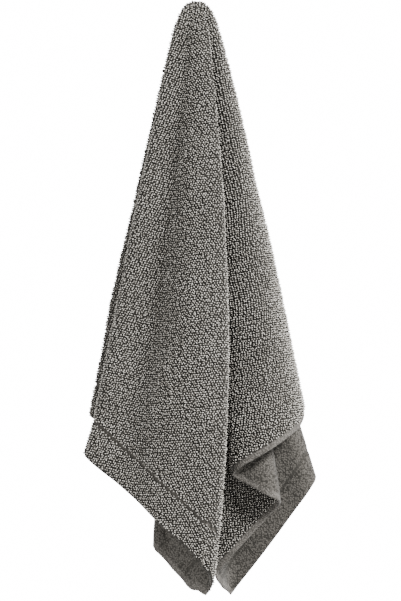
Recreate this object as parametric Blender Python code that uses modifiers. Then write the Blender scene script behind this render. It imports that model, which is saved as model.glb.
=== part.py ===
"""Square terry face cloth hung by its middle.

The middle of the cloth sits over a small rounded seat at the origin. The rest falls below it in
deep folds, down to four corners. The viewer stands on the -Y side, X runs to the right, Z is up.

Every straight line on the flat cloth from its middle to its edge stays one line of the hung cloth.
Such a line is named by its cloth angle: 0 is the front corner, and the angle grows leftwards round
the cloth, so the other corners are at 90, 180 and 270 degrees.
"""
import math

import bmesh
import bpy
import numpy as np

CLOTH_SIDE = 0.330
CLOTH_THICKNESS = 0.0020
HALF_SIDE = CLOTH_SIDE / 2

# Half width of the hung cloth: a small knob over the seat, then a cone that tucks in lower down
KNOB_RADIUS = 0.0052
KNOB_RUN = 0.0045
CONE_FLARE = 0.232
CONE_TUCK = 0.085
LEAST_DROP = 0.3

# The cloth is pressed thin where its folds crowd together, and is at full thickness from here down
FULL_THICKNESS_AT = 0.115
LEAST_SHARE = 0.01

LAYER_STEP = 0.0075
RINGS_NEAR_SEAT = (0.0, 0.008, 0.02, 0.045, 0.08)
EVEN_RINGS = 11
TURN_CLOTH = 1.5
SOFT_PASSES = 3
NARROW_TURN_POINTS = 3
WIDE_TURN_POINTS = 5
WIDE_TURN = 0.0025
DRIFT_POWER = 1.15

# One row for each line where the cloth turns, in order of cloth angle.
# angle: cloth angle in degrees, or None to share the cloth between the rows that have one by length
# side, depth: place in mm at HALF_SIDE from the middle, depth growing away from the viewer
# turn: radius of the turn in mm, 0 for a soft bend
# top_side: how far the line stands to the right near the seat, in mm at full width
# low_side, low_depth: how far the line has drifted in mm when it reaches a corner of the cloth
FOLD_COLUMNS = ("angle", "side", "depth", "turn", "top_side", "low_side", "low_depth")
FOLDS = (
    # Front lobe, from its fold to the left edge of the hung cloth
    (1.2, 12.0, -29.5, 2.8, 12.0, -9.6, 4.0),
    (3.5, 2.5, -34.0, 0.0, 9.0, 0.0, 4.0),
    (6.1, -6.5, -33.0, 0.0, 8.0, 0.0, 4.0),
    (13.1, -19.0, -17.4, 0.0, 7.0, 0.0, -2.0),
    (15.2, -29.8, -18.6, 0.0, 0.0, 0.0, 0.0),
    (19.7, -37.6, -11.5, 3.5, 0.0, -8.0, 0.0),
    # Lobes and valleys round the left side and the back
    (None, -29.5, -4.0, 2.0, 0.0, 0.0, 0.0),
    (None, -40.6, 4.0, 3.0, 0.0, 0.0, 0.0),
    (None, -27.5, 15.0, 2.2, -3.0, 0.0, 0.0),
    (None, -37.0, 27.5, 3.2, 2.0, 0.0, 0.0),
    (None, -22.0, 34.0, 2.2, -3.0, 0.0, 0.0),
    (None, -25.0, 46.5, 2.7, -4.0, 0.0, 0.0),
    (None, -10.0, 35.5, 2.2, 4.0, 0.0, 0.0),
    (90.0, -3.0, 50.5, 3.4, 5.0, 6.0, -12.0),
    (None, 8.0, 36.5, 2.2, 4.0, 0.0, 0.0),
    (None, 13.5, 45.0, 2.2, 4.0, 0.0, 0.0),
    (None, 22.0, 35.0, 2.2, 0.0, 0.0, 0.0),
    (None, 34.5, 43.5, 3.2, -2.0, 0.0, 0.0),
    (None, 36.5, 27.5, 2.0, 0.0, 0.0, 0.0),
    (None, 41.8, 17.0, 2.5, 0.0, 0.0, 0.0),
    (None, 43.2, 2.0, 0.0, 2.8, 0.0, 0.0),
    # Right panel, from the right edge of the hung cloth to the fold beside the front lobe
    (151.9, 40.8, -13.0, 0.0, 3.0, 0.0, 0.0),
    (156.7, 31.0, -22.0, 0.0, 4.0, 0.0, 0.0),
    (162.4, 12.9, -16.4, 2.0, 11.0, 0.0, 0.0),
    # Layers behind the right panel, to and fro, with the right corner on the fourth
    (165.2, 17.2, -13.4, 0.0, 7.0, 0.0, 0.0),
    (169.0, 27.3, -11.0, 2.8, 3.0, 0.0, 0.0),
    (177.5, 4.7, -10.0, 2.0, 3.0, 2.0, 8.0),
    (180.0, 11.7, -4.5, 0.0, 1.5, -3.4, 13.0),
    (193.8, 38.4, 1.4, 2.2, 0.0, 8.5, 0.0),
    # Hidden layers, with the back right corner on the third turn
    (None, -10.5, -4.5, 2.0, 0.0, 0.0, 0.0),
    (None, 37.0, 10.5, 2.0, 0.0, 0.0, 0.0),
    (270.0, -12.0, 7.0, 2.2, 0.0, 22.0, 12.0),
    (None, 34.3, 18.0, 2.0, 0.0, 0.0, 0.0),
    (None, -14.5, 16.4, 2.0, 0.0, 0.0, 0.0),
    (None, 30.4, 27.0, 2.0, 0.0, 0.0, 0.0),
    (None, -21.0, 27.3, 3.5, 0.0, 0.0, 0.0),
    (None, -23.0, 8.0, 0.0, 0.0, 10.0, 0.0),
    (None, -21.0, -7.0, 0.0, 0.0, 15.0, 0.0),
    # Inner piece that hangs below the front lobe, out to the front corner
    (354.6, -12.6, -16.6, 2.0, 1.5, 1.2, 0.0),
    (359.0, 4.2, -23.2, 0.0, 12.4, -6.2, 3.0),
)


def clear_scene():
    """Take every object out of the scene."""
    for thing in list(bpy.data.objects):
        bpy.data.objects.remove(thing, do_unlink=True)


def fold_columns():
    """Columns of the fold table as arrays, lengths in metres and angles in degrees."""
    table = {}
    for place, name in enumerate(FOLD_COLUMNS[1:], start=1):
        table[name] = np.array([row[place] for row in FOLDS]) / 1000
    table["angle"] = shared_angles(np.column_stack([table["side"], table["depth"]]))
    return table


def shared_angles(places):
    """Give the rows without an angle their share of the cloth, by their distance along the folds."""
    known = [number for number, row in enumerate(FOLDS) if row[0] is not None]
    steps = np.linalg.norm(np.diff(places, axis=0), axis=1)
    along = np.concatenate([[0.0], np.cumsum(steps)])
    return np.interp(along, along[known], [FOLDS[number][0] for number in known])


def turn_frame(places, number):
    """Directions at one fold: into the lobe, and across it towards the row before."""
    tip = places[number]
    before = places[number - 1] - tip
    after = places[(number + 1) % len(places)] - tip
    before = before / np.linalg.norm(before)
    after = after / np.linalg.norm(after)
    inward = before + after
    inward = inward / np.linalg.norm(inward)
    across = before - inward * before.dot(inward)
    return inward, across / np.linalg.norm(across)


def loop_of_folds(table):
    """One closed loop through all the folds, as a list of (side, depth, top, low, low depth, angle)."""
    places = np.column_stack([table["side"], table["depth"]])
    turns = []
    for number, place in enumerate(places):
        drift = [table[name][number] for name in ("top_side", "low_side", "low_depth")]
        angle = table["angle"][number]
        radius = table["turn"][number]
        if radius == 0:
            turns.append([np.array([*place, *drift, angle])])
            continue
        inward, across = turn_frame(places, number)
        share = math.degrees(TURN_CLOTH * radius / HALF_SIDE)
        points = WIDE_TURN_POINTS if radius >= WIDE_TURN else NARROW_TURN_POINTS
        turn = []
        for swing in np.linspace(-1, 1, points):
            bend = swing * math.pi / 2
            offset = inward * (1 - math.cos(bend)) - across * math.sin(bend)
            turn.append(np.array([*(place + radius * offset), *drift, angle + swing * share]))
        turns.append(turn)
    loop = []
    held = []
    for number, turn in enumerate(turns):
        loop += turn
        held += [len(turn) > 1] * len(turn)
        start = turn[-1]
        end = turns[(number + 1) % len(turns)][0].copy()
        if number == len(turns) - 1:
            end[-1] += 360
        steps = max(1, round(np.linalg.norm(end[:2] - start[:2]) / LAYER_STEP))
        for step in range(1, steps):
            loop.append(start + (end - start) * step / steps)
            held.append(False)
    return softened(np.array(loop), np.array(held))


def softened(loop, held):
    """Round the soft bends: the points that aren't held move towards the middle of their neighbours."""
    for _ in range(SOFT_PASSES):
        between = (np.roll(loop, 1, axis=0)[:, :2] + np.roll(loop, -1, axis=0)[:, :2]) / 2
        loop[~held, :2] = (loop[~held, :2] + between[~held]) / 2
    return loop


def reach_of_ray(angles):
    """Distance from the middle of the flat cloth to its edge at each cloth angle."""
    from_side = np.radians((angles % 90) - 45)
    return HALF_SIDE / np.cos(from_side)


def half_width(reach):
    """Half width of the hung cloth at a distance from its middle."""
    knob = KNOB_RADIUS * (1 - np.exp(-reach / KNOB_RUN))
    return knob + CONE_FLARE * reach - CONE_TUCK * reach ** 2


def hung_places(loop, reach):
    """Side and depth of every point of the loop, each at its own distance from the middle."""
    size = half_width(reach) / half_width(HALF_SIDE)
    high = np.clip(1 - reach / HALF_SIDE, 0, 1)
    low_run = HALF_SIDE * (math.sqrt(2) - 1)
    low = np.clip((reach - HALF_SIDE) / low_run, 0, 1) ** DRIFT_POWER
    side = size * (loop[:, 0] + high * loop[:, 2]) + low * loop[:, 3]
    depth = size * loop[:, 1] + low * loop[:, 4]
    return np.column_stack([side, depth])


def ring_shares():
    """How far down each ring is, as a share of the way from the middle to the edge."""
    near = list(RINGS_NEAR_SEAT)
    last = near[-1]
    return near + [last + (1 - last) * step / EVEN_RINGS for step in range(1, EVEN_RINGS + 1)]


def middle_surface(loop):
    """Rings of points halfway through the cloth, each line as long as it is on the flat cloth."""
    edge = reach_of_ray(loop[:, 5])
    fine_steps = 12
    places = np.zeros((len(loop), 2))
    height = np.zeros(len(loop))
    reach = np.zeros(len(loop))
    rings = []
    shares = ring_shares()
    for start, end in zip(shares, shares[1:]):
        for step in range(1, fine_steps + 1):
            share = start + (end - start) * step / fine_steps
            next_reach = share * edge
            next_places = hung_places(loop, next_reach)
            run = next_reach - reach
            sideways = np.linalg.norm(next_places - places, axis=1) / run
            height = height - run * np.sqrt(np.clip(1 - sideways ** 2, LEAST_DROP ** 2, 1))
            places, reach = next_places, next_reach
        rings.append(np.column_stack([places, height]))
    return np.array(rings)


def cloth_surface(rings):
    """Open surface through the rings, closed at the top by one point over the seat."""
    shape = bmesh.new()
    middle = shape.verts.new((0.0, 0.0, 0.0))
    rows = [[shape.verts.new(tuple(point)) for point in ring] for ring in rings]
    for place in range(len(rows[0])):
        beside = (place + 1) % len(rows[0])
        shape.faces.new((middle, rows[0][beside], rows[0][place]))
        for upper, lower in zip(rows, rows[1:]):
            shape.faces.new((upper[place], upper[beside], lower[beside], lower[place]))
    bmesh.ops.recalc_face_normals(shape, faces=shape.faces)
    data = bpy.data.meshes.new("face_cloth")
    shape.to_mesh(data)
    shape.free()
    return data


def thickness_share(drop):
    """Share of the full thickness at a distance below the seat."""
    return min(1.0, max(LEAST_SHARE, half_width(drop) / half_width(FULL_THICKNESS_AT)))


def thicken(cloth):
    """Give the surface its thickness: pressed thin where the folds crowd, full lower down."""
    group = cloth.vertex_groups.new(name="thickness")
    for vertex in cloth.data.vertices:
        group.add([vertex.index], thickness_share(-vertex.co.z), "REPLACE")
    shell = cloth.modifiers.new("thickness", "SOLIDIFY")
    shell.thickness = CLOTH_THICKNESS
    shell.offset = 0.0
    shell.vertex_group = group.name


def terry_material():
    """Warm mid grey cotton terry."""
    material = bpy.data.materials.new("grey_terry")
    material.use_nodes = True
    shader = material.node_tree.nodes["Principled BSDF"]
    shader.inputs["Base Color"].default_value = (0.19, 0.175, 0.16, 1.0)
    shader.inputs["Roughness"].default_value = 0.95
    return material


def build_cloth(collection):
    """The hung cloth as one solid."""
    loop = loop_of_folds(fold_columns())
    cloth = bpy.data.objects.new("face_cloth", cloth_surface(middle_surface(loop)))
    cloth.data.materials.append(terry_material())
    collection.objects.link(cloth)
    thicken(cloth)


def main():
    clear_scene()
    collection = bpy.data.collections.new("hung_face_cloth")
    bpy.context.scene.collection.children.link(collection)
    build_cloth(collection)


main()
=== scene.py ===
"""Look of the hung terry face cloth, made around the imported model.

The woven ground is one closed sheet. Small loops of yarn stand on its outer side, as real shapes.
Lengths are in metres unless a comment says otherwise. A cloth angle names a straight line on the flat
cloth from its middle to its edge: 0 is the front corner, and it grows leftwards round the cloth.
"""

import math

import bpy
import numpy as np
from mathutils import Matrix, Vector


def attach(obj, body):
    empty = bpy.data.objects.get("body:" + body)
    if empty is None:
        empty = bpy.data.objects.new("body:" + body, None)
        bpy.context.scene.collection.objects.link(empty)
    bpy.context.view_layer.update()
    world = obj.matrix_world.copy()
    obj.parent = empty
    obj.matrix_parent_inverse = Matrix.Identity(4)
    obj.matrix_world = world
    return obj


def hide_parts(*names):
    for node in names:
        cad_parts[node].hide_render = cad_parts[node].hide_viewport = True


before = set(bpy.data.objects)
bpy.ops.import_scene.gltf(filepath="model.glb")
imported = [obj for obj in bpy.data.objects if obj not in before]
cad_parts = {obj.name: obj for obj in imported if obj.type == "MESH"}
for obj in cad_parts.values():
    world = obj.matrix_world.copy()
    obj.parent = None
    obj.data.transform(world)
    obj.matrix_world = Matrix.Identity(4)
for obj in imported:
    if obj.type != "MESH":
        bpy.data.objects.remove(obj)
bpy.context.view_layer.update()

# Sizes of the cloth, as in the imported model
CLOTH_SIDE = 0.330
CLOTH_THICKNESS = 0.0020
HALF_SIDE = CLOTH_SIDE / 2
LONGEST_REACH = HALF_SIDE * math.sqrt(2)
KNOB_RADIUS = 0.0052
KNOB_RUN = 0.0045
CONE_FLARE = 0.232
CONE_TUCK = 0.085
LEAST_DROP = 0.3
FULL_THICKNESS_AT = 0.115
LEAST_SHARE = 0.01
LAYER_STEP = 0.0075
TURN_CLOTH = 1.5
SOFT_PASSES = 3
NARROW_TURN_POINTS = 3
WIDE_TURN_POINTS = 5
WIDE_TURN = 0.0025
DRIFT_POWER = 1.15

# Fineness of the shown cloth
COLUMN_STEP = 0.0018
REACH_STEP = 0.0005
RINGS_NEAR_SEAT = (0.005, 0.01, 0.018, 0.028, 0.04)
RING_STEP = 0.0032
HEM_RING_STEP = 0.0009
HEM_ZONE = 0.0145
EDGE_STEPS = 6

# Sewing: a groove along each hem's stitches, and selvedges that thin out within 1.5 of their widths
FRONT_HEM_WIDTH = 0.0119
BACK_HEM_WIDTH = 0.0094
STITCH_WIDTH = 0.0007
STITCH_DEPTH = 0.5
SELVEDGE_WIDTH = 0.0019
SELVEDGE_SHARE = 0.75
SELVEDGE_FADE = 1.5

# Pile: one small loop of yarn stands at each place, mostly within the thickness of the cloth
PILE_ROOM = 0.0008
LOOP_PITCH = 0.00100
LOOP_ROW_STEP = LOOP_PITCH * math.sqrt(0.75)
LOOP_JITTER = 0.22
LOOP_RADIUS = 0.00037
LOOP_RADIUS_RANGE = (0.85, 1.15)
LOOP_STRETCH = 1.35
LOOP_HEIGHT = 0.00092
LOOP_HEIGHT_RANGE = (0.55, 1.2)
LOOP_FOOT = 0.2
LOOP_SIDES = 5
LOOP_WIDEST_AT = 0.22
LOOP_LEAN = 0.00022
STITCH_GAP = 0.00044
LOOP_SEED = 7

# Loops are left out where no side shows them: between these cloth angles, nearer to the middle than
# this reach
HIDDEN_FROM, HIDDEN_TO = 163.0, 361.0
HIDDEN_WITHIN = 0.138

# One row for each line where the cloth turns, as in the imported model
FOLD_COLUMNS = ("angle", "side", "depth", "turn", "top_side", "low_side", "low_depth")
FOLDS = (
    # Front lobe, from its fold to the left edge of the hung cloth
    (1.2, 12.0, -29.5, 2.8, 12.0, -9.6, 4.0),
    (3.5, 2.5, -34.0, 0.0, 9.0, 0.0, 4.0),
    (6.1, -6.5, -33.0, 0.0, 8.0, 0.0, 4.0),
    (13.1, -19.0, -17.4, 0.0, 7.0, 0.0, -2.0),
    (15.2, -29.8, -18.6, 0.0, 0.0, 0.0, 0.0),
    (19.7, -37.6, -11.5, 3.5, 0.0, -8.0, 0.0),
    # Lobes and valleys round the left side and the back
    (None, -29.5, -4.0, 2.0, 0.0, 0.0, 0.0),
    (None, -40.6, 4.0, 3.0, 0.0, 0.0, 0.0),
    (None, -27.5, 15.0, 2.2, -3.0, 0.0, 0.0),
    (None, -37.0, 27.5, 3.2, 2.0, 0.0, 0.0),
    (None, -22.0, 34.0, 2.2, -3.0, 0.0, 0.0),
    (None, -25.0, 46.5, 2.7, -4.0, 0.0, 0.0),
    (None, -10.0, 35.5, 2.2, 4.0, 0.0, 0.0),
    (90.0, -3.0, 50.5, 3.4, 5.0, 6.0, -12.0),
    (None, 8.0, 36.5, 2.2, 4.0, 0.0, 0.0),
    (None, 13.5, 45.0, 2.2, 4.0, 0.0, 0.0),
    (None, 22.0, 35.0, 2.2, 0.0, 0.0, 0.0),
    (None, 34.5, 43.5, 3.2, -2.0, 0.0, 0.0),
    (None, 36.5, 27.5, 2.0, 0.0, 0.0, 0.0),
    (None, 41.8, 17.0, 2.5, 0.0, 0.0, 0.0),
    (None, 43.2, 2.0, 0.0, 2.8, 0.0, 0.0),
    # Right panel, from the right edge of the hung cloth to the fold beside the front lobe
    (151.9, 40.8, -13.0, 0.0, 3.0, 0.0, 0.0),
    (156.7, 31.0, -22.0, 0.0, 4.0, 0.0, 0.0),
    (162.4, 12.9, -16.4, 2.0, 11.0, 0.0, 0.0),
    # Layers behind the right panel, to and fro, with the right corner on the fourth
    (165.2, 17.2, -13.4, 0.0, 7.0, 0.0, 0.0),
    (169.0, 27.3, -11.0, 2.8, 3.0, 0.0, 0.0),
    (177.5, 4.7, -10.0, 2.0, 3.0, 2.0, 8.0),
    (180.0, 11.7, -4.5, 0.0, 1.5, -3.4, 13.0),
    (193.8, 38.4, 1.4, 2.2, 0.0, 8.5, 0.0),
    # Hidden layers, with the back right corner on the third turn
    (None, -10.5, -4.5, 2.0, 0.0, 0.0, 0.0),
    (None, 37.0, 10.5, 2.0, 0.0, 0.0, 0.0),
    (270.0, -12.0, 7.0, 2.2, 0.0, 22.0, 12.0),
    (None, 34.3, 18.0, 2.0, 0.0, 0.0, 0.0),
    (None, -14.5, 16.4, 2.0, 0.0, 0.0, 0.0),
    (None, 30.4, 27.0, 2.0, 0.0, 0.0, 0.0),
    (None, -21.0, 27.3, 3.5, 0.0, 0.0, 0.0),
    (None, -23.0, 8.0, 0.0, 0.0, 10.0, 0.0),
    (None, -21.0, -7.0, 0.0, 0.0, 15.0, 0.0),
    # Inner piece that hangs below the front lobe, out to the front corner
    (354.6, -12.6, -16.6, 2.0, 1.5, 1.2, 0.0),
    (359.0, 4.2, -23.2, 0.0, 12.4, -6.2, 3.0),
)

# Small rises and dips over the flat cloth: waves across a side and along it, start of the wave in
# radians, and height in mm
UNEVEN_WAVES = (
    (5.3, 2.2, 0.4, 0.16),
    (-3.1, 6.4, 1.9, 0.14),
    (8.7, -4.9, 3.1, 0.10),
    (2.6, 11.3, 5.2, 0.07),
    (-12.2, 7.1, 0.9, 0.05),
)

# Soft ridges and troughs on the outer side, the first three on the front lobe: cloth angle and spread
# in degrees, height in mm, and the reach in mm at which each starts and ends. Each fades in and out
# over CREASE_FADE of its length
CREASES = (
    (13.8, 2.8, -2.0, 20.0, 190.0),
    (10.4, 2.2, 1.2, 120.0, 236.0),
    (5.2, 2.0, -0.9, 125.0, 232.0),
    (155.8, 1.6, 0.3, 40.0, 165.0),
    (33.0, 2.0, 0.5, 40.0, 150.0),
    (84.0, 2.4, 0.5, 30.0, 190.0),
    (112.0, 2.2, -0.4, 40.0, 170.0),
)
CREASE_FADE = 0.3

# Pieces of pile, by the cloth angle where each begins and ends
PILE_PIECES = (
    ("pile_front_left", -5.0, 67.0),
    ("pile_back", 67.0, 133.0),
    ("pile_right", 133.0, 200.0),
    ("pile_inner_layers", 200.0, 290.0),
    ("pile_front_corner", 290.0, 361.0),
)

# Share of the baked picture left free round each half of it
BAKE_MARGIN = 0.01

# Colours of the ground, as linear red, green and blue. The pairs are its darkest and palest tones
# The outer side's ground between the loops is near black: painted shade between the loops
GROUND_PAINTED_SHADE = ((0.012, 0.011, 0.009, 1), (0.036, 0.033, 0.028, 1))
# The inner side's short pile: its dark gaps between the loops and its low tone overall are partly
# painted shade
SHORT_PILE_WITH_PAINTED_SHADE = ((0.025, 0.023, 0.019, 1), (0.103, 0.095, 0.084, 1))
WOVEN_RIM = ((0.064, 0.059, 0.052, 1), (0.145, 0.135, 0.121, 1))
STITCHES = (0.060, 0.055, 0.048, 1)

# Colours of the loops: their foot, painted shade, and the darkest and palest loops, each from patch to
# patch. The tones at the tops are paler than the yarn, partly a painted highlight
LOOP_SHADOW = (0.026, 0.023, 0.019, 1)
DEEP_LOOPS = ((0.35, 0.327, 0.287, 1), (0.41, 0.384, 0.340, 1))
PALE_LOOPS = ((0.86, 0.821, 0.750, 1), (0.94, 0.903, 0.828, 1))

# Fineness of the patterns in the materials, to a metre
PATCH_SCALE = 38.0
SHORT_LOOP_SCALE = 1400.0
FUZZ_SCALE = 2200.0
BUMP_HEIGHT = 0.0003

# Camera and floor
CAMERA_DISTANCE = 1.2
PICTURE_HEIGHT = 0.2344
PICTURE_CENTRE = (0.0021, 0.0, -0.1166)
FLOOR_HEIGHT = -0.34
FLOOR_RADIUS = 1.05
FLOOR_CORNERS = 96
FLOOR_COLOUR = (0.60, 0.60, 0.60, 1)
FLOOR_GLOW = 0.1

# Lights: name, place, side and power
LIGHTS = (
    ("main_light", (1.17, -0.78, 1.18), 0.45, 119),
    ("left_light", (-1.6, -1.25, 0.1), 0.6, 27),
    ("back_light", (-0.9, 1.9, 0.6), 1.2, 60),
)
AIR_LIGHT = 0.10
AIR_SEEN = 16.0
WHITE = (1, 1, 1, 1)


def fold_columns():
    """Columns of the fold table as arrays, lengths in metres and angles in degrees."""
    table = {}
    for place, name in enumerate(FOLD_COLUMNS[1:], start=1):
        table[name] = np.array([row[place] for row in FOLDS]) / 1000
    table["angle"] = shared_angles(np.column_stack([table["side"], table["depth"]]))
    return table


def shared_angles(places):
    """Give the rows without an angle their share of the cloth, by their distance along the folds."""
    known = [number for number, row in enumerate(FOLDS) if row[0] is not None]
    steps = np.linalg.norm(np.diff(places, axis=0), axis=1)
    along = np.concatenate([[0.0], np.cumsum(steps)])
    return np.interp(along, along[known], [FOLDS[number][0] for number in known])


def turn_frame(places, number):
    """Directions at one fold: into the lobe, and across it towards the row before."""
    tip = places[number]
    before = places[number - 1] - tip
    after = places[(number + 1) % len(places)] - tip
    before = before / np.linalg.norm(before)
    after = after / np.linalg.norm(after)
    inward = before + after
    inward = inward / np.linalg.norm(inward)
    across = before - inward * before.dot(inward)
    return inward, across / np.linalg.norm(across)


def turn_points(table, places, number):
    """Points of one fold: a half circle of its radius, or a single point for a soft bend."""
    drift = [table[name][number] for name in ("top_side", "low_side", "low_depth")]
    place = places[number]
    angle = table["angle"][number]
    radius = table["turn"][number]
    if radius == 0:
        return [np.array([*place, *drift, angle])]
    inward, across = turn_frame(places, number)
    share = math.degrees(TURN_CLOTH * radius / HALF_SIDE)
    count = WIDE_TURN_POINTS if radius >= WIDE_TURN else NARROW_TURN_POINTS
    points = []
    for swing in np.linspace(-1, 1, count):
        bend = swing * math.pi / 2
        offset = inward * (1 - math.cos(bend)) - across * math.sin(bend)
        points.append(np.array([*(place + radius * offset), *drift, angle + swing * share]))
    return points


def loop_of_folds(table):
    """Closed loop through all the folds: rows of side, depth, top side, low side, low depth, angle."""
    places = np.column_stack([table["side"], table["depth"]])
    turns = [turn_points(table, places, number) for number in range(len(places))]
    loop = []
    held = []
    for number, turn in enumerate(turns):
        loop += turn
        held += [len(turn) > 1] * len(turn)
        start = turn[-1]
        end = turns[(number + 1) % len(turns)][0].copy()
        if number == len(turns) - 1:
            end[-1] += 360
        steps = max(1, round(np.linalg.norm(end[:2] - start[:2]) / LAYER_STEP))
        for step in range(1, steps):
            loop.append(start + (end - start) * step / steps)
            held.append(False)
    return softened(np.array(loop), np.array(held))


def softened(loop, held):
    """Round the soft bends: the points that aren't held move towards the middle of their neighbours."""
    for _ in range(SOFT_PASSES):
        between = (np.roll(loop, 1, axis=0)[:, :2] + np.roll(loop, -1, axis=0)[:, :2]) / 2
        loop[~held, :2] = (loop[~held, :2] + between[~held]) / 2
    return loop


def fine_loop(loop):
    """Smooth closed curve through the loop's points, its first point repeated at the end.

    Between two points the curve is a cubic. Its slope at a point is the mean of the slopes of the
    two chords that meet there, each weighted by the length of the other chord.
    """
    full_turn = np.array([0, 0, 0, 0, 0, 360.0])
    after = np.vstack([loop[1:], loop[:1] + full_turn])
    step = np.linalg.norm((after - loop)[:, :2], axis=1)
    slope = (after - loop) / step[:, None]
    step_before = np.roll(step, 1)
    slope_before = np.roll(slope, 1, axis=0)
    tangent = slope_before * step[:, None] + slope * step_before[:, None]
    tangent = tangent / (step + step_before)[:, None]
    tangent_after = np.roll(tangent, -1, axis=0)
    pieces = []
    for number, length in enumerate(step):
        samples = max(2, round(length / COLUMN_STEP))
        t = (np.arange(samples) / samples)[:, None]
        pieces.append(
            (2 * t ** 3 - 3 * t ** 2 + 1) * loop[number]
            + (t ** 3 - 2 * t ** 2 + t) * length * tangent[number]
            + (3 * t ** 2 - 2 * t ** 3) * after[number]
            + (t ** 3 - t ** 2) * length * tangent_after[number]
        )
    curve = np.vstack(pieces)
    return np.vstack([curve, curve[:1] + full_turn])


def half_width(reach):
    """Half width of the hung cloth at a distance from its middle."""
    knob = KNOB_RADIUS * (1 - np.exp(-reach / KNOB_RUN))
    return knob + CONE_FLARE * reach - CONE_TUCK * reach ** 2


def edge_reach(angles):
    """Distance from the middle of the flat cloth to its edge at each cloth angle."""
    return HALF_SIDE / np.cos(np.radians((angles % 90) - 45))


def flat_places(reach, angles):
    """Places on the flat cloth: hems at the ends of the second axis, selvedges at the first's."""
    turned = np.radians(angles + 45)
    return np.stack([reach * np.cos(turned), reach * np.sin(turned)], axis=-1)


def edge_distances(flat):
    """Distances of places on the flat cloth from the nearest hem and the nearest selvedge."""
    return HALF_SIDE - np.abs(flat[..., 1]), HALF_SIDE - np.abs(flat[..., 0])


def stitch_distance(flat):
    """Distance from the nearer hem's stitches, more than zero towards the middle of the cloth."""
    width = np.where(flat[..., 1] > 0, FRONT_HEM_WIDTH, BACK_HEM_WIDTH)
    return HALF_SIDE - np.abs(flat[..., 1]) - width


def unevenness(flat):
    """Sum of slanted sine waves over the flat cloth, in metres."""
    rise = np.zeros(flat.shape[:-1])
    for across, along, start, height in UNEVEN_WAVES:
        phase = 2 * math.pi * (across * flat[..., 0] + along * flat[..., 1]) / CLOTH_SIDE
        rise += height / 1000 * np.sin(phase + start)
    return rise


def creases(reaches, angles):
    """Sum of the creases, in metres: each a bell curve over the cloth angle, faded at its two ends."""
    rise = np.zeros((len(reaches), len(angles)))
    for angle, spread, height, start, end in CREASES:
        run = CREASE_FADE * (end - start)
        fade_in = np.clip((reaches * 1000 - start) / run, 0, 1)
        fade_out = np.clip((end - reaches * 1000) / run, 0, 1)
        fade = (fade_in * fade_out) ** 2 * (3 - 2 * fade_in * fade_out)
        rise += height / 1000 * fade[:, None] * np.exp(-((angles - angle) / spread) ** 2)[None]
    return rise


def unit(vectors):
    """The vectors at length 1."""
    return vectors / np.linalg.norm(vectors, axis=-1, keepdims=True)


class HungCloth:
    """The cloth's middle surface, as a function of reach from its middle and place along the loop.

    Side and depth are the loop's, at the size that the cone has at that reach, with each line's own
    drift near the seat and near the corners. Height is what is left of each line's length.
    """

    def __init__(self):
        self.loop = fine_loop(loop_of_folds(fold_columns()))
        self.angles = self.loop[:, 5]
        reaches = np.arange(0, LONGEST_REACH + 2 * REACH_STEP, REACH_STEP)
        points = self.even_points(reaches)
        along = np.empty_like(points)
        along[:, 1:-1] = points[:, 2:] - points[:, :-2]
        along[:, 0] = along[:, -1] = points[:, 1] - points[:, -2]
        along[0] = along[1]
        self.down = unit(np.gradient(points, axis=0))
        self.normals = unit(np.cross(along, self.down))
        flat = flat_places(reaches[:, None], self.angles[None])
        rise = unevenness(flat) + creases(reaches, self.angles)
        rise = rise * thickness_share(points[:, :, 2])
        self.points = points + self.normals * rise[:, :, None]

    def even_points(self, reaches):
        """Points of the cloth without its unevenness: a row for each reach, a column for each line."""
        size = (half_width(reaches) / half_width(HALF_SIDE))[:, None]
        high = np.clip(1 - reaches / HALF_SIDE, 0, 1)[:, None]
        past_side = np.clip((reaches - HALF_SIDE) / (LONGEST_REACH - HALF_SIDE), 0, 1)
        low = past_side[:, None] ** DRIFT_POWER
        side = size * (self.loop[:, 0] + high * self.loop[:, 2]) + low * self.loop[:, 3]
        depth = size * self.loop[:, 1] + low * self.loop[:, 4]
        sideways = np.hypot(np.diff(side, axis=0), np.diff(depth, axis=0)) / REACH_STEP
        drops = REACH_STEP * np.sqrt(np.clip(1 - sideways ** 2, LEAST_DROP ** 2, 1))
        height = np.vstack([np.zeros(len(self.loop)), -np.cumsum(drops, axis=0)])
        return np.stack([side, depth, height], axis=-1)

    def read(self, table, reach, place):
        """Values of a table between its reaches and its places along the loop."""
        row = np.clip(reach / REACH_STEP, 0, len(table) - 1.001)
        row_start = row.astype(int)
        down = (row - row_start)[:, None]
        left = np.clip(place.astype(int), 0, len(self.loop) - 2)
        right = left + 1
        across = (place - left)[:, None]
        upper = table[row_start, left] * (1 - across) + table[row_start, right] * across
        lower = table[row_start + 1, left] * (1 - across) + table[row_start + 1, right] * across
        return upper * (1 - down) + lower * down


def thickness_share(height):
    """Share of the full thickness: pressed thin near the seat, full lower down."""
    return np.clip(half_width(-height) / half_width(FULL_THICKNESS_AT), LEAST_SHARE, 1)


def local_thickness(height, flat):
    """Thickness of the cloth, with a groove along each hem's stitches and a thin selvedge."""
    selvedge = edge_distances(flat)[1]
    groove = STITCH_DEPTH * np.exp(-(stitch_distance(flat) / STITCH_WIDTH) ** 2)
    thin = (1 - SELVEDGE_SHARE) * np.clip(SELVEDGE_FADE - selvedge / SELVEDGE_WIDTH, 0, 1)
    return (CLOTH_THICKNESS - PILE_ROOM) * thickness_share(height) * (1 - groove) * (1 - thin)


def pile_sink(height):
    """How far the ground's middle lies behind the cloth's middle, to leave room for the pile outside."""
    return PILE_ROOM / 2 * thickness_share(height)


def ring_shares():
    """How far down each ring is, as a share of the way to the edge: close together near the hem."""
    near = np.array(RINGS_NEAR_SEAT)
    hem_start = 1 - HEM_ZONE / HALF_SIDE
    middle_count = round((hem_start - near[-1]) * HALF_SIDE / RING_STEP)
    middle = np.linspace(near[-1], hem_start, middle_count + 1)[1:]
    hem_count = round(HEM_ZONE / HEM_RING_STEP)
    hem = np.linspace(hem_start, 1, hem_count + 1)[1:]
    return np.concatenate([near, middle, hem])


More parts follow.
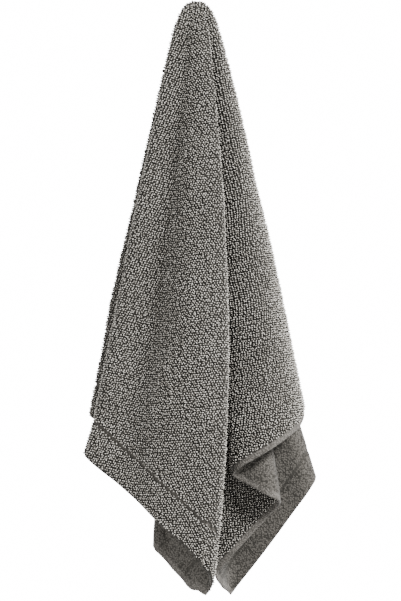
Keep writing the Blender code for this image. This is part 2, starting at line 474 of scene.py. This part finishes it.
def cloth_rows(hung):
    """Rows of points down the outer side, round the edge in a half circle and up the inner side.

    Returns the points, their places on the flat cloth and their side, from 0 outside to 1 inside.
    """
    count = len(hung.loop) - 1
    shares = ring_shares()
    reach = shares[:, None] * edge_reach(hung.angles[:-1])[None]
    place = np.broadcast_to(np.arange(count, dtype=float), reach.shape)
    middle, normals, down = (
        hung.read(table, reach.ravel(), place.ravel()).reshape(len(shares), count, 3)
        for table in (hung.points, hung.normals, hung.down)
    )
    normals = unit(normals)
    flat = flat_places(reach, hung.angles[None, :-1])
    half = (local_thickness(middle[:, :, 2], flat) / 2)[:, :, None]
    middle = middle - normals * pile_sink(middle[:, :, 2])[:, :, None]
    turned = math.pi * np.arange(1, EDGE_STEPS)[:, None, None] / EDGE_STEPS
    swing = normals[-1] * np.cos(turned) + down[-1] * np.sin(turned)
    edge = middle[-1] + swing * half[-1]
    points = np.concatenate([middle + normals * half, edge, (middle - normals * half)[::-1]])
    flats = np.concatenate([flat, np.repeat(flat[-1:], EDGE_STEPS - 1, axis=0), flat[::-1]])
    edge_inside = np.linspace(0, 1, EDGE_STEPS + 1)[1:-1]
    inside = np.concatenate([np.zeros(len(shares)), edge_inside, np.ones(len(shares))])
    return points, flats, np.broadcast_to(inside[:, None], points.shape[:2])


def new_mesh(name, vertices, corners, sizes):
    """Mesh of faces that follow each other in one list of corners."""
    mesh = bpy.data.meshes.new(name)
    mesh.vertices.add(len(vertices))
    mesh.vertices.foreach_set("co", vertices.ravel())
    mesh.loops.add(len(corners))
    mesh.loops.foreach_set("vertex_index", corners)
    mesh.polygons.add(len(sizes))
    mesh.polygons.foreach_set("loop_start", np.concatenate([[0], np.cumsum(sizes)[:-1]]))
    mesh.polygons.foreach_set("use_smooth", np.ones(len(sizes), dtype=bool))
    mesh.update(calc_edges=True)
    return mesh


def add_map(mesh, name, places, corners):
    """UV map from one place for each vertex."""
    mesh.uv_layers.new(name=name).data.foreach_set("uv", places[corners].ravel())


def add_values(mesh, name, values):
    """Attribute with one value for each vertex."""
    mesh.attributes.new(name, "FLOAT", "POINT").data.foreach_set("value", values.astype(np.float32))


def cloth_mesh(hung):
    """Closed mesh of the cloth, shut by a point on each side at the seat."""
    points, flats, inside = cloth_rows(hung)
    rows, count = points.shape[:2]
    half = LEAST_SHARE * CLOTH_THICKNESS / 2
    vertices = np.vstack([points.reshape(-1, 3), [[0, 0, half], [0, 0, -half]]])
    places = np.vstack([flats.reshape(-1, 2), np.zeros((2, 2))])
    number = np.arange(rows * count).reshape(rows, count)
    beside = np.roll(number, -1, axis=1)
    quads = np.stack([number[:-1], beside[:-1], beside[1:], number[1:]], axis=-1).reshape(-1, 4)
    tip = np.full(count, rows * count)
    top = np.stack([tip, beside[0], number[0]], axis=-1)
    under = np.stack([tip + 1, number[-1], beside[-1]], axis=-1)
    corners = np.concatenate([quads.ravel(), top.ravel(), under.ravel()])
    sizes = np.concatenate([np.full(len(quads), 4), np.full(2 * count, 3)])
    mesh = new_mesh("terry_cloth", vertices, corners, sizes)
    add_map(mesh, "flat_cloth", places, corners)
    add_values(mesh, "inner_side", np.concatenate([inside.ravel(), [0, 1]]))
    return mesh


def loop_places(hung):
    """Reach and place along the loop of every loop of yarn: rings a step apart, evenly filled."""
    chance = np.random.default_rng(LOOP_SEED)
    reaches = np.arange(LOOP_PITCH, LONGEST_REACH, LOOP_ROW_STEP)
    count = len(hung.loop)
    ring = np.repeat(np.arange(len(reaches)), count)
    columns = np.tile(np.arange(count, dtype=float), len(reaches))
    points = hung.read(hung.points, reaches[ring], columns).reshape(len(reaches), count, 3)
    steps = np.linalg.norm(np.diff(points, axis=1), axis=2)
    lengths = np.hstack([np.zeros((len(reaches), 1)), np.cumsum(steps, axis=1)])
    full = lengths[:, -1]
    filled = np.maximum(3, np.round(full / LOOP_PITCH).astype(int))
    ring = np.repeat(np.arange(len(reaches)), filled)
    within = np.arange(filled.sum()) - np.repeat(np.cumsum(filled) - filled, filled)
    jitter = chance.uniform(-LOOP_JITTER, LOOP_JITTER, (2, len(ring)))
    share = ((within + 0.5 + 0.5 * (ring % 2) + jitter[0]) / filled[ring]) % 1
    apart = 2 * full.max()
    offsets = (np.arange(len(reaches)) * apart)[:, None]
    place = np.interp(share * full[ring] + ring * apart, (lengths + offsets).ravel(), columns)
    return reaches[ring] + jitter[1] * LOOP_PITCH, place


def shown_loops(hung, reach, place):
    """Which loops are on the cloth, off its stitches and selvedges, and not deep inside the folds."""
    angles = np.interp(place, np.arange(len(hung.loop)), hung.angles)
    flat = flat_places(reach, angles)
    hem, selvedge = edge_distances(flat)
    on_cloth = (hem > 0) & (selvedge > SELVEDGE_WIDTH)
    off_stitch = np.abs(stitch_distance(flat)) > STITCH_GAP
    hidden = (angles > HIDDEN_FROM) & (angles < HIDDEN_TO) & (reach < HIDDEN_WITHIN)
    return on_cloth & off_stitch & ~hidden, angles


def bulge_rings(radius, turned):
    """Widest ring of each bulge, across and down the cloth: a long oval, turned by its own angle."""
    turn = 2 * math.pi * np.arange(LOOP_SIDES)[None] / LOOP_SIDES
    long_way = LOOP_STRETCH * np.cos(turn)
    short_way = np.sin(turn) / LOOP_STRETCH
    turned = turned[:, None]
    across = radius[:, None] * (long_way * np.cos(turned) - short_way * np.sin(turned))
    down = radius[:, None] * (long_way * np.sin(turned) + short_way * np.cos(turned))
    return across, down


def yarn_loops(hung, reach, place, chance):
    """Vertices of small closed bulges, one for each loop, and their places on the flat cloth.

    Each bulge has a ring of LOOP_SIDES points where it is widest, then a top that leans a little to
    one side, then a foot in the cloth.
    """
    angles = np.interp(place, np.arange(len(hung.loop)), hung.angles)
    flat = flat_places(reach, angles)
    middle = hung.read(hung.points, reach, place)
    normal = unit(hung.read(hung.normals, reach, place))
    down = unit(hung.read(hung.down, reach, place))
    across = np.cross(down, normal)
    lift = local_thickness(middle[:, 2], flat) / 2 - pile_sink(middle[:, 2])
    foot = middle + normal * lift[:, None]
    count = len(reach)
    turned = chance.uniform(0, 2 * math.pi, count)
    radius = LOOP_RADIUS * chance.uniform(*LOOP_RADIUS_RANGE, count)
    height = (LOOP_HEIGHT * chance.uniform(*LOOP_HEIGHT_RANGE, count))[:, None]
    lean = LOOP_LEAN * chance.uniform(-1, 1, (2, count, 1))
    sideways, downwards = bulge_rings(radius, turned)
    wide = sideways[:, :, None] * across[:, None] + downwards[:, :, None] * down[:, None]
    ring = (foot + normal * height * LOOP_WIDEST_AT)[:, None] + wide
    top = foot + normal * height + across * lean[0] + down * lean[1]
    bottom = foot - normal * height * LOOP_FOOT
    vertices = np.concatenate([ring, top[:, None], bottom[:, None]], axis=1)
    spread = np.stack([sideways, downwards], axis=-1)
    places = np.concatenate([flat[:, None] + spread, flat[:, None], flat[:, None]], axis=1)
    return vertices, places


def bake_places(places, under):
    """The flat cloth fitted into one half of the unit square, the loops' undersides into the other."""
    across = places[..., 0] / CLOTH_SIDE + 0.5
    along = places[..., 1] / CLOTH_SIDE + 0.5
    width, height = 0.5 - 2 * BAKE_MARGIN, 1 - 2 * BAKE_MARGIN
    left = BAKE_MARGIN + width * across + 0.5 * under
    return np.stack([left, BAKE_MARGIN + height * along], axis=-1)


def pile_mesh(name, vertices, places, chance):
    """Mesh of many bulges, each with triangles from its ring to its top and to its foot.

    Every point knows how high up its loop it is, from 0 to 1, and how pale its loop is.
    """
    count = len(vertices)
    first = (np.arange(count) * (LOOP_SIDES + 2))[:, None]
    side = np.arange(LOOP_SIDES)[None]
    beside = (np.arange(LOOP_SIDES) + 1)[None] % LOOP_SIDES
    top = np.broadcast_to(first + LOOP_SIDES, (count, LOOP_SIDES))
    upper = np.stack([first + side, first + beside, top], axis=-1)
    lower = np.stack([first + beside, first + side, top + 1], axis=-1)
    corners = np.concatenate([upper, lower], axis=1).ravel()
    mesh = new_mesh(name, vertices.reshape(-1, 3), corners, np.full(2 * LOOP_SIDES * count, 3))
    under = np.tile(np.repeat([0.0, 1.0], 3 * LOOP_SIDES), count)
    baked = bake_places(places.reshape(-1, 2)[corners], under)
    mesh.uv_layers.new(name="OFBake").data.foreach_set("uv", baked.ravel())
    # How high up its loop each point is: the loop material paints shade at the foot and widest ring from
    # it
    add_values(mesh, "rise", np.tile([0.0] * LOOP_SIDES + [1.0, 0.0], count))
    add_values(mesh, "tone", np.repeat(chance.uniform(0, 1, count), LOOP_SIDES + 2))
    return mesh


def make_piece(name, mesh, material):
    """Object at the origin with its mesh and material."""
    piece = bpy.data.objects.new(name, mesh)
    bpy.context.scene.collection.objects.link(piece)
    mesh.materials.append(material)
    return piece


class Shade:
    """A value in a material's node tree, which takes part in Python sums."""

    def __init__(self, tree, socket=None):
        self.tree = tree
        self.socket = socket

    def node(self, kind, settings=None, sockets=None, output=0):
        """New node of a kind: its settings, its sockets by name or number, and the output to use."""
        node = self.tree.nodes.new(kind)
        for name, value in (settings or {}).items():
            setattr(node, name, value)
        for place, value in (sockets or {}).items():
            if isinstance(value, Shade):
                self.tree.links.new(value.socket, node.inputs[place])
            else:
                node.inputs[place].default_value = value
        return Shade(self.tree, node.outputs[output])

    def math(self, operation, *values):
        """Result of one maths node."""
        return self.node("ShaderNodeMath", {"operation": operation}, dict(enumerate(values)))

    def __add__(self, other):
        return self.math("ADD", self, other)

    def __radd__(self, other):
        return self.math("ADD", other, self)

    def __sub__(self, other):
        return self.math("SUBTRACT", self, other)

    def __rsub__(self, other):
        return self.math("SUBTRACT", other, self)

    def __mul__(self, other):
        return self.math("MULTIPLY", self, other)

    def __rmul__(self, other):
        return self.math("MULTIPLY", other, self)

    def size(self):
        """The value without its sign."""
        return self.math("ABSOLUTE", self)

    def between(self, low, high):
        """0 below low, 1 above high and smooth between."""
        settings = {"interpolation_type": "SMOOTHSTEP"}
        return self.node("ShaderNodeMapRange", settings, {0: self, 1: low, 2: high})

    def mixed(self, first, second):
        """Colour between two colours, by this value as the share of the second."""
        sockets = {0: self, 6: first, 7: second}
        return self.node("ShaderNodeMix", {"data_type": "RGBA"}, sockets, output=2)


def new_material(name):
    """Material with its node tree as a Shade and its main shader."""
    material = bpy.data.materials.new(name)
    material.use_nodes = True
    tree = material.node_tree
    return material, Shade(tree), tree.nodes["Principled BSDF"]


def cotton(shader):
    """Dull cotton with a faint sheen of loose fibres."""
    shader.inputs["Roughness"].default_value = 0.95
    shader.inputs["Specular IOR Level"].default_value = 0.12
    shader.inputs["Sheen Weight"].default_value = 0.12
    shader.inputs["Sheen Roughness"].default_value = 0.6


def attribute(shade, name):
    """One value that the mesh holds for each vertex."""
    return shade.node("ShaderNodeAttribute", {"attribute_name": name}, output="Fac")


def broad_tone(shade):
    """Soft patches of lighter and darker pile, some centimetres wide."""
    spot = shade.node("ShaderNodeTexCoord", output="Object")
    sockets = {"Vector": spot, "Scale": PATCH_SCALE, "Detail": 3.0}
    return shade.node("ShaderNodeTexNoise", {}, sockets).between(0.32, 0.68)


def short_loops(shade):
    """Light and dark of short, closely set loops, and of the finer fuzz on them."""
    spot = shade.node("ShaderNodeTexCoord", output="Object")
    cell_sockets = {"Vector": spot, "Scale": SHORT_LOOP_SCALE, "Randomness": 0.85}
    cells = shade.node("ShaderNodeTexVoronoi", {"feature": "F1"}, cell_sockets)
    fuzz = shade.node("ShaderNodeTexNoise", {}, {"Vector": spot, "Scale": FUZZ_SCALE, "Detail": 2.0})
    return (1.0 - cells.between(0.2, 0.8)) * (0.7 + 0.6 * fuzz), fuzz


def stitches_and_rims(shade):
    """Where the hems' stitches run and where the selvedges are, each from 0 to 1."""
    flat = shade.node("ShaderNodeUVMap", {"uv_map": "flat_cloth"})
    across = shade.node("ShaderNodeSeparateXYZ", {}, {0: flat}, output="X")
    along = shade.node("ShaderNodeSeparateXYZ", {}, {0: flat}, output="Y")
    hem_width = BACK_HEM_WIDTH + (FRONT_HEM_WIDTH - BACK_HEM_WIDTH) * along.between(-0.1, 0.1)
    from_stitches = (HALF_SIDE - hem_width - along.size()).size()
    from_rim = HALF_SIDE - across.size()
    return 1.0 - from_stitches.between(0.0003, 0.0010), 1.0 - from_rim.between(0.0014, 0.0024)


def ground_material():
    """The woven ground: painted shade between the outer loops; on the inner side short, closely set
    pile, partly darkened as painted shade.
    """
    material, shade, shader = new_material("grey_terry_ground")
    stitch, rim = stitches_and_rims(shade)
    loops, fuzz = short_loops(shade)
    light = loops * (1.0 - 0.65 * stitch)
    # Outer side: the ground between the loops painted near black as shade, with its stitches on it
    outer = stitch.mixed(fuzz.mixed(*GROUND_PAINTED_SHADE), STITCHES)
    inner_side = attribute(shade, "inner_side").between(0.3, 0.7)
    # Inner side: short pile in the yarn's pattern, partly darkened as painted shade
    pile = inner_side.mixed(outer, light.mixed(*SHORT_PILE_WITH_PAINTED_SHADE))
    colour = rim.mixed(pile, light.mixed(*WOVEN_RIM))
    bump_sockets = {"Height": light, "Strength": 0.5, "Distance": BUMP_HEIGHT}
    bump = shade.node("ShaderNodeBump", {}, bump_sockets)
    shade.tree.links.new(colour.socket, shader.inputs["Base Color"])
    shade.tree.links.new(bump.socket, shader.inputs["Normal"])
    cotton(shader)
    return material


def loop_material():
    """Loops of yarn: painted shade at the foot, pale warm grey at the top, partly a painted highlight,
    some loops paler than others.
    """
    material, shade, shader = new_material("grey_terry_loops")
    patch = broad_tone(shade)
    loops = attribute(shade, "tone").mixed(patch.mixed(*DEEP_LOOPS), patch.mixed(*PALE_LOOPS))
    # Painted shade on each loop's foot and widest ring, fading into the loop's tone towards its top
    colour = attribute(shade, "rise").between(0.0, 0.8).mixed(LOOP_SHADOW, loops)
    shade.tree.links.new(colour.socket, shader.inputs["Base Color"])
    cotton(shader)
    return material


def make_pile(hung):
    """All the loops on the outer side, in pieces by cloth angle."""
    reach, place = loop_places(hung)
    shown, angles = shown_loops(hung, reach, place)
    chance = np.random.default_rng(LOOP_SEED + 1)
    vertices, places = yarn_loops(hung, reach[shown], place[shown], chance)
    angles = angles[shown]
    material = loop_material()
    pieces = []
    for name, start, end in PILE_PIECES:
        here = (angles >= start) & (angles < end)
        piece = make_piece(name, pile_mesh(name, vertices[here], places[here], chance), material)
        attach(piece, "root")
        pieces.append(piece)
    return pieces


def make_cloth():
    """The cloth in place of its solid, with its pile on it."""
    hung = HungCloth()
    cloth = make_piece("terry_cloth", cloth_mesh(hung), ground_material())
    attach(cloth, "root")
    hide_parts("face_cloth")
    make_pile(hung)


def make_floor():
    """Pale round floor well below the cloth."""
    turned = np.linspace(0, 2 * math.pi, FLOOR_CORNERS + 1)[:-1]
    height = np.full(FLOOR_CORNERS, FLOOR_HEIGHT)
    rim = np.column_stack([np.cos(turned) * FLOOR_RADIUS, np.sin(turned) * FLOOR_RADIUS, height])
    mesh = bpy.data.meshes.new("floor")
    mesh.from_pydata(rim.tolist(), [], [tuple(range(FLOOR_CORNERS))])
    material, _, shader = new_material("floor_white")
    shader.inputs["Base Color"].default_value = FLOOR_COLOUR
    shader.inputs["Roughness"].default_value = 0.9
    shader.inputs["Emission Color"].default_value = WHITE
    shader.inputs["Emission Strength"].default_value = FLOOR_GLOW
    make_piece("floor", mesh, material)


def add_light(name, place, size, power):
    """Soft square light that faces the cloth."""
    light = bpy.data.lights.new(name, "AREA")
    light.size = size
    light.energy = power
    lamp = bpy.data.objects.new(name, light)
    lamp.location = place
    towards_cloth = Vector(PICTURE_CENTRE) - Vector(place)
    lamp.rotation_euler = towards_cloth.to_track_quat("-Z", "Y").to_euler()
    bpy.context.scene.collection.objects.link(lamp)


def make_lights():
    """Main light from the right and above, weaker ones from the left and behind, pale air all round.

    The air looks brighter than it lights: it is at AIR_LIGHT for the cloth and the floor, and
    AIR_SEEN is added where it is seen directly.
    """
    for light in LIGHTS:
        add_light(*light)
    world = bpy.data.worlds.new("air")
    world.use_nodes = True
    air = world.node_tree.nodes["Background"]
    shade = Shade(world.node_tree)
    seen = shade.node("ShaderNodeLightPath", output="Is Camera Ray")
    strength = AIR_LIGHT + AIR_SEEN * seen
    world.node_tree.links.new(strength.socket, air.inputs["Strength"])
    air.inputs["Color"].default_value = WHITE
    bpy.context.scene.world = world


def make_camera():
    """Camera at the photo's viewing angle."""
    data = bpy.data.cameras.new("camera")
    data.lens = data.sensor_width * CAMERA_DISTANCE / PICTURE_HEIGHT
    camera = bpy.data.objects.new("camera", data)
    camera.location = Vector(PICTURE_CENTRE) + Vector((0, -CAMERA_DISTANCE, 0))
    camera.rotation_euler = (math.pi / 2, 0, 0)
    bpy.context.scene.collection.objects.link(camera)
    bpy.context.scene.camera = camera


make_camera()
make_lights()
make_floor()
make_cloth()
